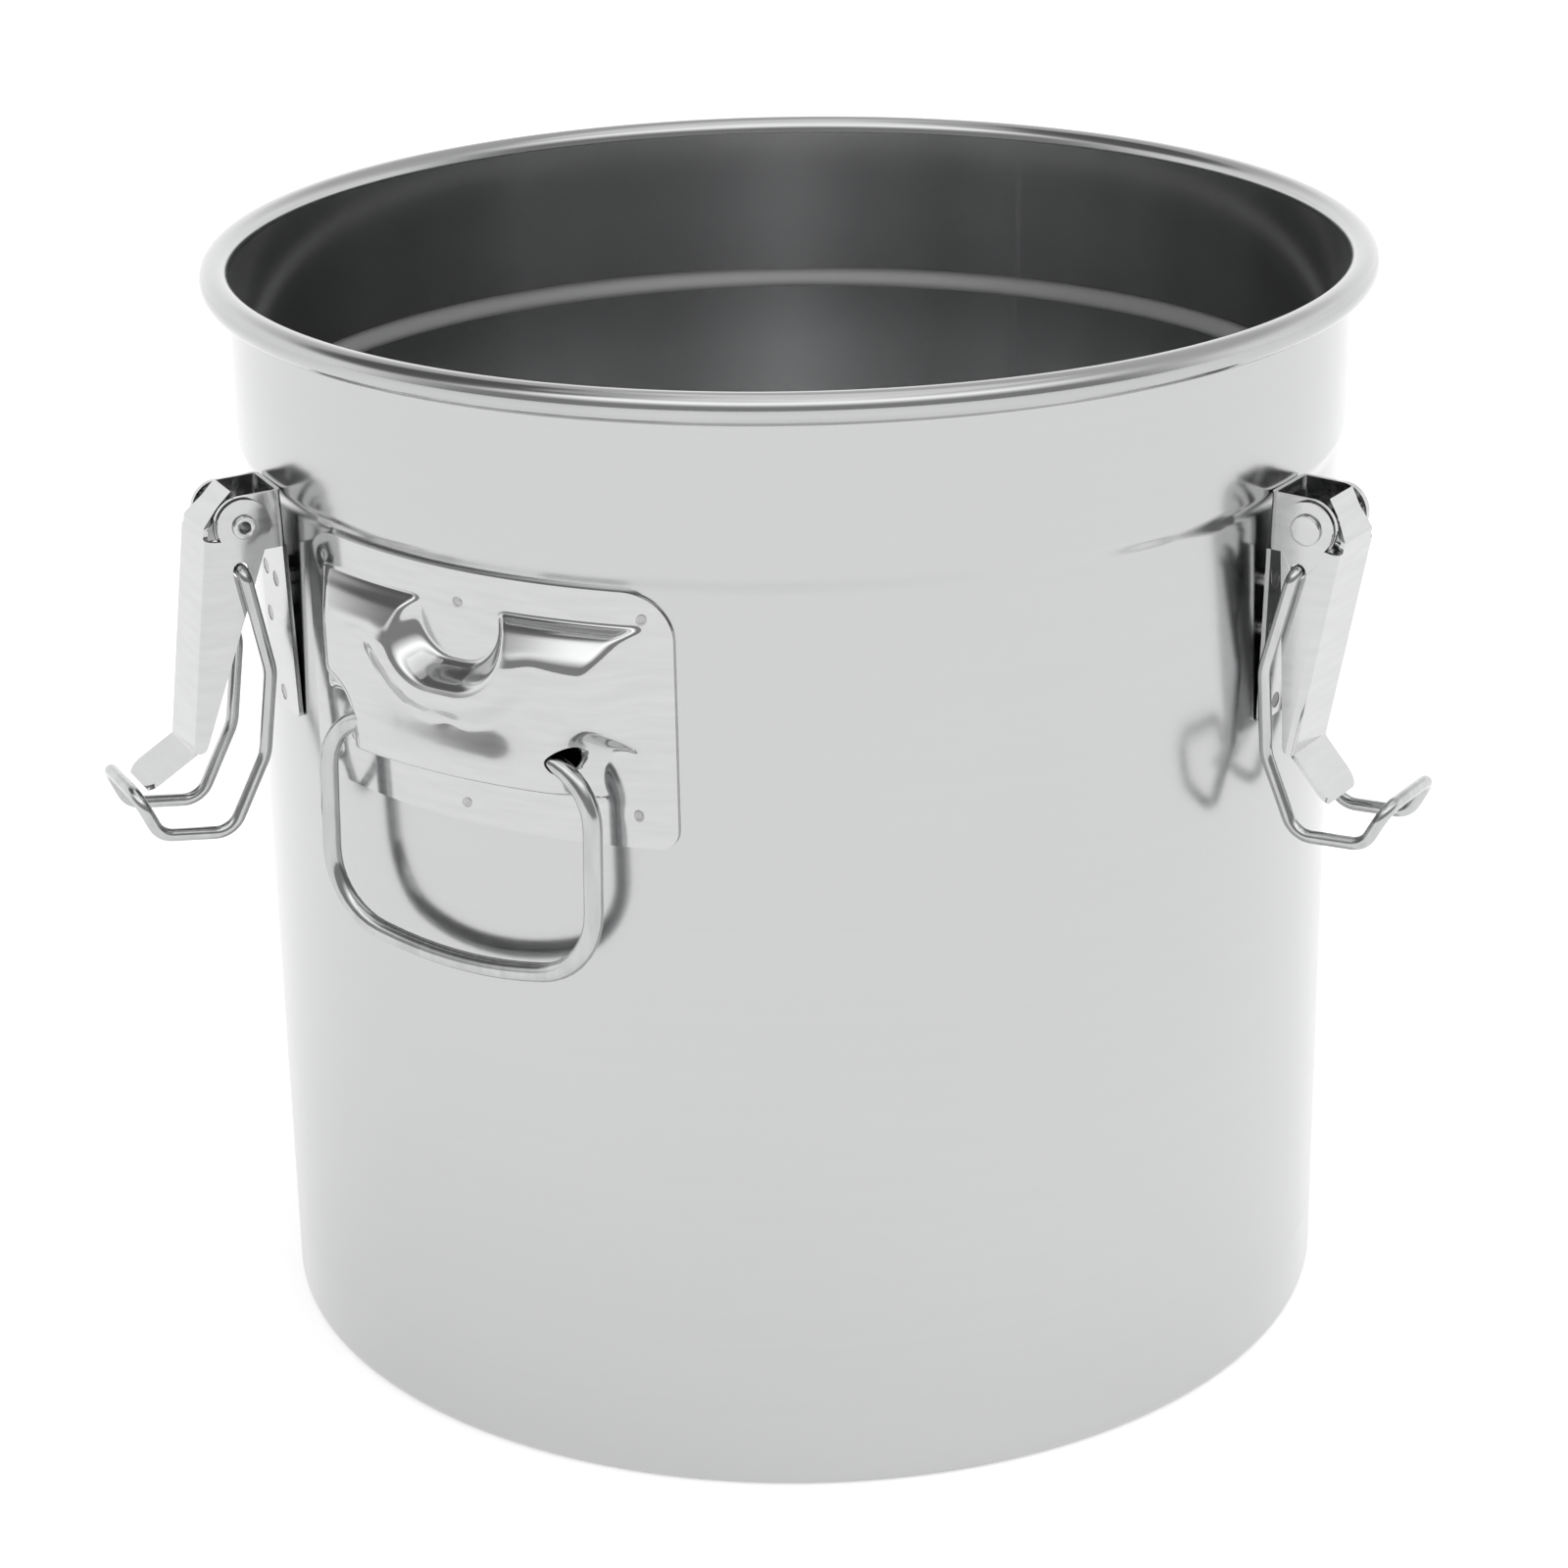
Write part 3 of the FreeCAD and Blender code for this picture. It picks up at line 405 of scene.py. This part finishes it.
def makeRod(name, points, radius, closed, place):
    curve = bpy.data.curves.new(name + "Line", "CURVE")
    curve.dimensions = "3D"
    curve.bevel_depth = radius * mm
    curve.bevel_resolution = rodForm["sides"]
    curve.use_fill_caps = not closed
    line = curve.splines.new("POLY")
    line.points.add(len(points) - 1)
    for spot, point in zip(line.points, points):
        spot.co = (*(place @ (point * mm)), 1)
    line.use_cyclic_u = closed
    holder = bpy.data.objects.new(name + "Line", curve)
    scene.collection.objects.link(holder)
    mesh = evaluatedMesh(holder)
    bpy.data.objects.remove(holder)
    bm = bmesh.new()
    bm.from_mesh(mesh)
    bmesh.ops.remove_doubles(bm, verts=bm.verts, dist=rodForm["merge"])
    bmesh.ops.recalc_face_normals(bm, faces=bm.faces)
    if not closed:
        bmesh.ops.bevel(bm, geom=sharpEdges(bm, rodForm["endAngle"]), offset=rodForm["endEdge"] * mm,
                        segments=2, profile=0.5, affect="EDGES", material=-1)
    return finishPiece(bm, name, wireSteel)


def jointNamed(name):
    return [j for j in frame["joints"] if j["name"] == name][0]


def hangingPlace(joint, hang):  # X outward, Z up, bottom leaning outward by hang degrees
    azimuth = math.atan2(joint["axis"][0], -joint["axis"][1])
    turn = Matrix.Rotation(azimuth, 4, "Z") @ Matrix.Rotation(-math.radians(hang), 4, "Y")
    return Matrix.Translation(joint["pos_m"]) @ turn


bailForm = {"radius": 1.75, "spread": 13.3, "end": 7.5, "runs": (28.2, 22.9, 22.7, 19.8, 12.7),
            "turns": (0.0, 18.5, 20.0, 70.5, 57.7), "bends": (12, 12, 7, 6, 5.2), "elbow": 3.0,
            "hang": {1: -15.3, 2: -10.9, 3: -15.3}}


def makeBail(number):
    spread = bailForm["spread"]
    side = [(Vector((0, bailForm["end"], 0)), 0), (Vector((0, spread, 0)), bailForm["elbow"])]
    x = 0.0
    z = 0.0
    heading = 0.0
    for run, turn, bend in zip(bailForm["runs"], bailForm["turns"], bailForm["bends"]):
        heading += math.radians(turn)
        x += run * math.sin(heading)
        z -= run * math.cos(heading)
        side.append((Vector((x, spread, z)), bend))
    other = [(Vector((p.x, -p.y, p.z)), bend) for p, bend in reversed(side)]
    place = hangingPlace(jointNamed("latch_bail_hinge_%d" % number), bailForm["hang"][number])
    bail = makeRod("bail_%d" % number, bentPath(side + other, False), bailForm["radius"], False, place)
    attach(bail, "bail_%d" % number)
    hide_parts("latch_bail_%d" % number)


ringForm = {"radius": 2.5, "spread": 42.0, "drop": 54.2, "bow": 8.5, "topBend": 16.0, "lowBend": 20.0,
            "gripBend": 124.0, "hang": 2.2}


def makeRing(number):
    spread = ringForm["spread"]
    drop = ringForm["drop"]
    corners = [(Vector((0, -spread, 0)), ringForm["topBend"]), (Vector((0, spread, 0)), ringForm["topBend"]),
               (Vector((0, spread, -drop)), ringForm["lowBend"]),
               (Vector((0, 0, -drop - ringForm["bow"])), ringForm["gripBend"]),
               (Vector((0, -spread, -drop)), ringForm["lowBend"])]
    place = hangingPlace(jointNamed("handle_ring_hinge_%d" % number), ringForm["hang"])
    ring = makeRod("ring_%d" % number, bentPath(corners, True), ringForm["radius"], True, place)
    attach(ring, "ring_%d" % number)
    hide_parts("handle_ring_%d" % number)


for number in (1, 2, 3):
    makeBail(number)
for number in (1, 2):
    makeRing(number)
print("bails and rings made")


# handle plates: one pressed sheet with a boss

def boxDistance(y, z, form):  # form is half width, low, high, corner
    half, low, high, corner = form
    dy = abs(y) - half + corner
    dz = abs(z - (low + high) / 2) - (high - low) / 2 + corner
    return math.hypot(max(dy, 0), max(dz, 0)) + min(max(dy, dz), 0) - corner


def softLess(a, b, k):
    share = max(k - abs(a - b), 0) / k
    return min(a, b) - share * share * k / 4


def softMore(a, b, k):
    return -softLess(-a, -b, k)


bossForm = {"rise": 9.0, "lip": 0.6, "crease": 1.9, "join": 6.0, "slope": 1.06, "footSoft": 0.8,
            "wideFoot": 49.6, "arch": (45.0, 200.4, 7.6), "archSlope": 1.05,
            "narrowFoot": 38.0, "narrowLow": 195.2, "narrowLowSlope": 3.4,
            "shelfFoot": 239.7, "shelfSteep": 2.2, "shelfBreak": 3.2, "shelfGentle": 0.78,
            "valleyFoot": (12.3, 225.6, 262.0, 11.0), "valleyCrest": (19.8, 219.6, 262.0, 16.0),
            "valleyEven": 0.35, "pastSlope": 0.6, "bib": 6.0}
hollowForm = {"depth": 2.9, "low": 198.6, "run": 18.0, "half": 38.0, "side": 24.0, "top": 222.0,
              "fade": 12.0, "under": (3.5, 6.0), "dimple": (1.0, 211.5, 2.8, 0.45), "dimpleFlat": 1.5}


def frontHeight(y, z, pastCrest):  # the front leans back into a hollow under the lip
    form = hollowForm
    height = bossForm["rise"] + bossForm["lip"] * ease(1 - pastCrest / bossForm["bib"])
    lean = form["depth"] * ease((z - form["low"]) / form["run"])
    lean *= 1 - ease((z - form["top"]) / form["fade"])
    lean *= ease((form["half"] - abs(y)) / form["side"])
    first, run = form["under"]
    lean *= ease((pastCrest - first) / run)
    y0, z0, radius, depth = form["dimple"]
    away = (y - y0) ** 2 + ((z - z0) * form["dimpleFlat"]) ** 2
    return height - lean - depth * math.exp(-away / radius ** 2)


def shelfHeight(z):  # steep where it leaves the plate, then gentler
    form = bossForm
    bend = form["shelfFoot"] - form["shelfBreak"] / form["shelfSteep"]
    steep = (form["shelfFoot"] - z) * form["shelfSteep"]
    gentle = form["shelfBreak"] + (bend - z) * form["shelfGentle"]
    return softLess(steep, gentle, form["crease"])


def sidesHeight(y, z):  # a wide upper part, arched over the ring's legs, and a narrow lower part
    form = bossForm
    archSide, archHeight, archFoot = form["arch"]
    archAway = math.hypot(abs(y) - archSide, z - archHeight) - archFoot
    if z < archHeight and abs(y) > archSide:
        archAway = -archFoot
    below = (z - form["narrowLow"]) * form["narrowLowSlope"]
    wide = softLess((form["wideFoot"] - abs(y)) * form["slope"], archAway * form["archSlope"], form["crease"])
    if z < archHeight:
        wide = min(wide, below)
    narrow = softLess((form["narrowFoot"] - abs(y)) * form["slope"], below, form["crease"])
    return softMore(wide, narrow, form["join"])


def valleyHeight(y, z, pastCrest):  # the recess from the top, up to the crest round it
    form = bossForm
    crest = form["rise"] + form["lip"]
    if pastCrest >= 0:
        return crest + pastCrest * form["pastSlope"]
    pastFoot = boxDistance(y, z, form["valleyFoot"])
    share = max(pastFoot, 0) / max(pastFoot - pastCrest, 1e-6)
    return crest * (form["valleyEven"] * share + (1 - form["valleyEven"]) * ease(share))


def bossHeight(y, z):
    crease = bossForm["crease"]
    pastCrest = boxDistance(y, z, bossForm["valleyCrest"])
    height = softLess(shelfHeight(z), frontHeight(y, z, pastCrest), crease)
    height = softLess(height, sidesHeight(y, z), crease)
    height = softLess(height, valleyHeight(y, z, pastCrest), crease)
    return softMore(height, 0.0, bossForm["footSoft"])


plateForm = {"face": 151.0, "sheet": 0.95, "halfWidth": 57.3, "low": 182.0, "top": 248.8,
             "topCorner": 12.0, "lowCorner": 5.0, "cornerRows": 14, "margin": 1.0, "cells": (230, 136),
             "smooth": 2, "smoothBy": 0.5, "barOut": 154.0, "barHeight": 205.4,
             "hole": ((28.6, 2.75), (39.5, 5.2)), "holeSides": 40, "cutFrom": 100.0, "cutDepth": 80.0,
             "merge": 2e-6, "sharpAt": 50}
spotForm = {"profile": ((0.01, -0.3), (1.5, -0.3), (1.5, 0.0), (1.29, 0.14), (0.99, 0.112), (0.75, 0.02),
                        (0.375, 0.05), (0.01, 0.02)),
            "sides": 20, "squash": (1.12, 0.9, 1), "turnEach": 1.3, "dish": 0.22, "dishRadius": 2.4,
            "dishShare": 0.75, "places": ((-19.3, 242.0), (0.0, 240.5), (19.3, 242.0),
                                          (-18.5, 190.5), (0.0, 187.0), (18.5, 190.5))}


def dishDepth(y, z):
    depth = 0.0
    for angle, height in spotForm["places"]:
        away = math.hypot(y - plateForm["face"] * math.sin(math.radians(angle)), z - height)
        depth += spotForm["dish"] * math.exp(-(away / spotForm["dishRadius"]) ** 2)
    return depth


def cutterFrom(bm, name):
    mesh = bpy.data.meshes.new(name)
    bm.to_mesh(mesh)
    bm.free()
    cutter = bpy.data.objects.new(name, mesh)
    scene.collection.objects.link(cutter)
    return cutter


def outlineCutter():
    bm = bmesh.new()
    half = plateForm["halfWidth"]
    corners = {}
    for y, z, radius in ((-half, plateForm["low"], "lowCorner"), (half, plateForm["low"], "lowCorner"),
                         (half, plateForm["top"], "topCorner"), (-half, plateForm["top"], "topCorner")):
        corners[bm.verts.new((plateForm["cutFrom"] * mm, y * mm, z * mm))] = plateForm[radius]
    bm.faces.new(list(corners))
    for corner, radius in corners.items():
        bmesh.ops.bevel(bm, geom=[corner], offset=radius * mm, segments=plateForm["cornerRows"], profile=0.5,
                        affect="VERTICES", material=-1)
    grown = bmesh.ops.extrude_face_region(bm, geom=bm.faces[:])
    moved = [v for v in grown["geom"] if isinstance(v, bmesh.types.BMVert)]
    bmesh.ops.translate(bm, verts=moved, vec=(plateForm["cutDepth"] * mm, 0, 0))
    bmesh.ops.recalc_face_normals(bm, faces=bm.faces)
    return cutterFrom(bm, "outlineCutter")


def holeCutter():  # a flared hole on each side, narrow where it meets the front
    bm = bmesh.new()
    (low, small), (high, wide) = plateForm["hole"]
    for side in (-1, 1):
        middle = (plateForm["barOut"] * mm, side * (low + high) / 2 * mm, plateForm["barHeight"] * mm)
        place = Matrix.Translation(middle) @ Matrix.Rotation(math.radians(-90 * side), 4, "X")
        bmesh.ops.create_cone(bm, cap_ends=True, segments=plateForm["holeSides"], radius1=small * mm,
                              radius2=wide * mm, depth=(high - low) * mm, matrix=place)
    return cutterFrom(bm, "holeCutter")


def dropFoldedFaces(bm):  # slivers left by a cut: two faces back to back on the same corners
    groups = {}
    for face in bm.faces:
        groups.setdefault(frozenset(face.verts), []).append(face)
    folded = [face for faces in groups.values() if len(faces) > 1 for face in faces]
    bmesh.ops.delete(bm, geom=folded, context="FACES")


def pressedGrid():
    bm = bmesh.new()
    across, up = plateForm["cells"]
    half = plateForm["halfWidth"] + plateForm["margin"]
    low = plateForm["low"] - plateForm["margin"]
    high = plateForm["top"] + plateForm["margin"]
    bmesh.ops.create_grid(bm, x_segments=across, y_segments=up, size=1.0)
    for vert in bm.verts:
        y = vert.co.x * half
        z = (low + high) / 2 + vert.co.y * (high - low) / 2
        vert.co = (bossHeight(y, z) - dishDepth(y, z), y, z)
    for _ in range(plateForm["smooth"]):
        bmesh.ops.smooth_vert(bm, verts=bm.verts, factor=plateForm["smoothBy"], use_axis_x=True,
                              use_axis_y=False, use_axis_z=False)
    for vert in bm.verts:
        radius = plateForm["face"] + vert.co.x
        vert.co = (math.sqrt(radius ** 2 - vert.co.y ** 2) * mm, vert.co.y * mm, vert.co.z * mm)
    bmesh.ops.recalc_face_normals(bm, faces=bm.faces)
    if sum(f.normal.x for f in bm.faces) < 0:
        bmesh.ops.reverse_faces(bm, faces=bm.faces)
    return bm


def cutSheet(plate):  # given its thickness, cut to its outline and opened for the ring's bar
    wall = plate.modifiers.new("sheet", "SOLIDIFY")
    wall.thickness = plateForm["sheet"] * mm
    wall.offset = -1
    wall.use_even_offset = True
    cutters = {"INTERSECT": outlineCutter(), "DIFFERENCE": holeCutter()}
    for operation, cutter in cutters.items():
        cut = plate.modifiers.new(operation.lower(), "BOOLEAN")
        cut.operation = operation
        cut.solver = "EXACT"
        cut.object = cutter
    mesh = evaluatedMesh(plate)
    plate.modifiers.clear()
    plate.data = mesh
    for cutter in cutters.values():
        bpy.data.objects.remove(cutter)


def makePlate(number, azimuth):
    plate = finishPiece(pressedGrid(), "plate_%d" % number, pressedSteel)
    cutSheet(plate)
    merge = plateForm["merge"]
    bm = bmesh.new()
    bm.from_mesh(plate.data)
    bmesh.ops.remove_doubles(bm, verts=bm.verts, dist=merge)
    bmesh.ops.dissolve_degenerate(bm, dist=merge, edges=bm.edges)
    bmesh.ops.triangulate(bm, faces=[f for f in bm.faces if len(f.verts) > 4])
    dropFoldedFaces(bm)
    bmesh.ops.rotate(bm, verts=bm.verts, cent=(0, 0, 0), matrix=Matrix.Rotation(azimuth, 3, "Z"))
    bm.to_mesh(plate.data)
    bm.free()
    plate.data.shade_smooth()
    plate.data.set_sharp_from_angle(angle=math.radians(plateForm["sharpAt"]))
    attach(plate, "can")
    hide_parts("handle_plate_%d" % number)


def makePlateSpots(number, azimuth):  # small raised rings where the plate is welded on
    bm = bmesh.new()
    out = plateForm["face"] - spotForm["dish"] * spotForm["dishShare"]
    for index, (angle, height) in enumerate(spotForm["places"]):
        spot = spinProfile(spotForm["profile"], spotForm["sides"], True)
        around = Matrix.Rotation(azimuth + math.radians(angle), 4, "Z")
        lay = Matrix.Translation((out * mm, 0, height * mm)) @ Matrix.Rotation(math.radians(90), 4, "Y")
        twist = Matrix.Rotation(index * spotForm["turnEach"], 3, "Z")
        bmesh.ops.scale(spot, vec=spotForm["squash"], verts=spot.verts)  # never quite round
        bmesh.ops.rotate(spot, cent=(0, 0, 0), matrix=twist, verts=spot.verts)
        bmesh.ops.transform(spot, matrix=around @ lay, verts=spot.verts)
        part = bpy.data.meshes.new("spot")
        spot.to_mesh(part)
        spot.free()
        bm.from_mesh(part)
        bpy.data.meshes.remove(part)
    spots = finishPiece(bm, "plateSpots_%d" % number, weldSteel)
    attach(spots, "can")
    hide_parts("handle_plate_welds_%d" % number)


for number, azimuth in ((1, math.pi), (2, 0.0)):
    makePlate(number, azimuth)
    makePlateSpots(number, azimuth)
print("handle plates made")


# floor, light and camera

stageForm = {"floor": 14.0, "floorTone": 0.93, "floorLight": 0.94, "floorRough": 0.9, "floorGlow": 0.42,
             "sky": 0.85, "dimSide": (-0.832, -0.555, 0.0), "dimFrom": -0.15, "dimTo": 0.55,
             "shade": (-0.177, 0.546, 0.819), "shadeFrom": 0.86, "shadeTo": 0.95, "shadeTone": 0.22,
             "backdrop": 1.2, "bounces": 12}


def grey(tone):
    return (tone, tone, tone)


def makeFloor():
    bm = bmesh.new()
    bmesh.ops.create_grid(bm, x_segments=1, y_segments=1, size=stageForm["floor"])
    made, shader, place = newMaterial("paleFloor")
    cloud = grain(place, 2.0).spread(0.0, 1.0)
    feed(shader, "Base Color", cloud.tint(grey(stageForm["floorTone"]), grey(stageForm["floorLight"])))
    shader.inputs["Roughness"].default_value = stageForm["floorRough"]
    shader.inputs["Emission Color"].default_value = (1, 1, 1, 1)
    shader.inputs["Emission Strength"].default_value = stageForm["floorGlow"]
    finishPiece(bm, "floor", made)


lampForm = {"place": (0, 0, 2.2), "aim": (0, 0, 0), "size": 1.6, "power": 4}


def makeLamp():
    lamp = bpy.data.lights.new("top", "AREA")
    lamp.energy = lampForm["power"]
    lamp.size = lampForm["size"]
    holder = bpy.data.objects.new("top", lamp)
    holder.location = lampForm["place"]
    aim = Vector(lampForm["aim"]) - holder.location
    holder.rotation_euler = aim.to_track_quat("-Z", "Y").to_euler()
    scene.collection.objects.link(holder)


dimStops = [(0.0, 0.42), (0.45, 0.40), (0.62, 1.3), (0.76, 2.4), (0.90, 1.4), (1.0, 0.9)]
whiteStops = [(0.0, 1.5), (0.35, 1.5), (0.60, 0.9), (1.0, 0.8)]  # by height above the horizon


def makeSky():  # white all round, dimmer low down on one side, with a dim patch high up
    world = bpy.data.worlds.new("studio")
    world.use_nodes = True
    scene.world = world
    tree = world.node_tree
    back = tree.nodes["Background"]
    aim = Sock(tree, tree.nodes.new("ShaderNodeTexCoord").outputs["Generated"])
    height = aim.part(2)
    dim = height.node("ShaderNodeValToRGB", {"stops": dimStops}, {0: height})
    white = height.node("ShaderNodeValToRGB", {"stops": whiteStops}, {0: height})
    form = stageForm
    share = aim.along(form["dimSide"]).ramp(form["dimFrom"], form["dimTo"], 0.0, 1.0, "SMOOTHSTEP")
    patch = aim.along(form["shade"])
    shade = patch.ramp(form["shadeFrom"], form["shadeTo"], 1.0, form["shadeTone"], "SMOOTHSTEP")
    tone = share.mixed(white, dim)
    tone = tone.node("ShaderNodeVectorMath", {"operation": "SCALE"}, {0: tone, "Scale": shade})
    seen = tone.node("ShaderNodeLightPath", out="Is Camera Ray")
    tone = seen.mixed(tone, (*grey(form["backdrop"]), 1))  # seen directly, it is a plain white wall
    tree.links.new(tone.socket, back.inputs["Color"])
    back.inputs["Strength"].default_value = form["sky"]


cameraForm = {"place": (-0.86556, -0.57507, 0.55194), "heading": 33.81, "pitch": -21.583, "roll": -1.01,
              "lens": 89.32, "sensor": 36}


def makeCamera():
    heading = math.radians(cameraForm["heading"])
    pitch = math.radians(cameraForm["pitch"])
    roll = math.radians(cameraForm["roll"])
    flat = math.cos(pitch)
    ahead = Vector((math.cos(heading) * flat, math.sin(heading) * flat, math.sin(pitch)))
    level = ahead.cross(Vector((0, 0, 1))).normalized()
    above = level.cross(ahead)
    right = level * math.cos(roll) + above * math.sin(roll)
    upward = right.cross(ahead)
    data = bpy.data.cameras.new("view")
    data.lens = cameraForm["lens"]
    data.sensor_width = cameraForm["sensor"]
    camera = bpy.data.objects.new("view", data)
    turn = Matrix((right, upward, -ahead)).transposed().to_4x4()
    camera.matrix_world = Matrix.Translation(cameraForm["place"]) @ turn
    scene.collection.objects.link(camera)
    scene.camera = camera


makeFloor()
makeSky()
makeLamp()
makeCamera()
scene.view_settings.view_transform = "Standard"
scene.cycles.glossy_bounces = stageForm["bounces"]  # light leaves the can only after many bounces
print("stage made")
